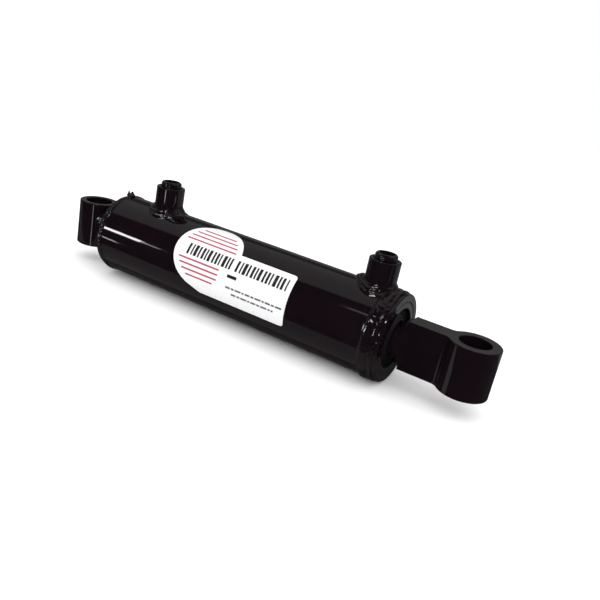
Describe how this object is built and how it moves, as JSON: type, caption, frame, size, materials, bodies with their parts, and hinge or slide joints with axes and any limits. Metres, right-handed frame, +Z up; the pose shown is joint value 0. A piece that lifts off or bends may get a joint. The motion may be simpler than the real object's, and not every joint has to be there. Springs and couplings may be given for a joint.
{
  "type": "hydraulic cylinder",
  "caption": "Welded double-acting hydraulic cylinder in gloss black, with a cross tube at the base, a pin eye on the rod, and plugged ports standing on the barrel.",
  "frame": {"origin": "on the ground under the middle of the object's box, as it lies on its barrel with the ports up", "axes": "+X from the base cross tube towards the rod eye, along the rod; +Z up, along both pins and out of the ports; +Y to the side away from the label"},
  "size_m": [0.4466, 0.0796, 0.1053],
  "materials": {
    "black_paint": "gloss black enamel over machined and welded steel",
    "rubber": "smooth nitrile",
    "label_vinyl": "white vinyl sticker with plain printed bars",
    "grey_iron": "machined",
    "seal_plastic": "machined bearing plastic",
    "nut_steel": "plain",
    "rod_chrome": "ground and hard chromed"
  },
  "bodies": {
    "barrel": {"barrel_tube": "black_paint", "base_end_cap": "black_paint", "base_cross_tube": "black_paint", "base_tube_weld": "black_paint", "base_cap_weld": "black_paint", "head_collar": "black_paint", "head_end_weld": "black_paint", "base_port_boss": "black_paint", "head_port_boss": "black_paint", "base_port_weld": "black_paint", "head_port_weld": "black_paint", "label": "label_vinyl", "gland": "grey_iron", "gland_o_ring": "rubber", "gland_backup_ring": "seal_plastic", "rod_bearing": "seal_plastic", "rod_seal": "rubber", "rod_wiper": "rubber"},
    "piston_seals": {"piston_seal": "seal_plastic", "piston_wear_ring_base": "seal_plastic", "piston_wear_ring_head": "seal_plastic"},
    "rod_assembly": {"rod": "rod_chrome", "piston": "grey_iron", "piston_o_ring": "rubber", "piston_lock_nut": "nut_steel", "rod_eye": "black_paint", "rod_eye_weld": "black_paint"},
    "base_plug_ring": {"base_plug_seal": "rubber"},
    "base_plug": {"base_port_plug": "black_paint"},
    "head_plug_ring": {"head_plug_seal": "rubber"},
    "head_plug": {"head_port_plug": "black_paint"}
  },
  "joints": [
    {"name": "rod_stroke", "type": "slide", "parent": "barrel", "child": "piston_seals", "axis": [1, 0, 0], "range_m": [0, 0.1524]},
    {"name": "rod_turn", "type": "hinge", "parent": "piston_seals", "child": "rod_assembly", "pos_m": [0, 0, 0.0398], "axis": [1, 0, 0], "continuous": true},
    {"name": "base_plug_rise", "type": "slide", "parent": "barrel", "child": "base_plug_ring", "axis": [0, 0, 1], "range_m": [0, 0.0145]},
    {"name": "base_plug_turn", "type": "hinge", "parent": "base_plug_ring", "child": "base_plug", "pos_m": [-0.11238, 0, 0.09], "axis": [0, 0, 1], "range_deg": [0, 3240]},
    {"name": "head_plug_rise", "type": "slide", "parent": "barrel", "child": "head_plug_ring", "axis": [0, 0, 1], "range_m": [0, 0.0145]},
    {"name": "head_plug_turn", "type": "hinge", "parent": "head_plug_ring", "child": "head_plug", "pos_m": [0.11522, 0, 0.09], "axis": [0, 0, 1], "range_deg": [0, 3240]}
  ],
  "couplings": [
    {"joint": "base_plug_rise", "follows": "base_plug_turn", "m_per_rad": 0.00025266},
    {"joint": "head_plug_rise", "follows": "head_plug_turn", "m_per_rad": 0.00025266}
  ]
}
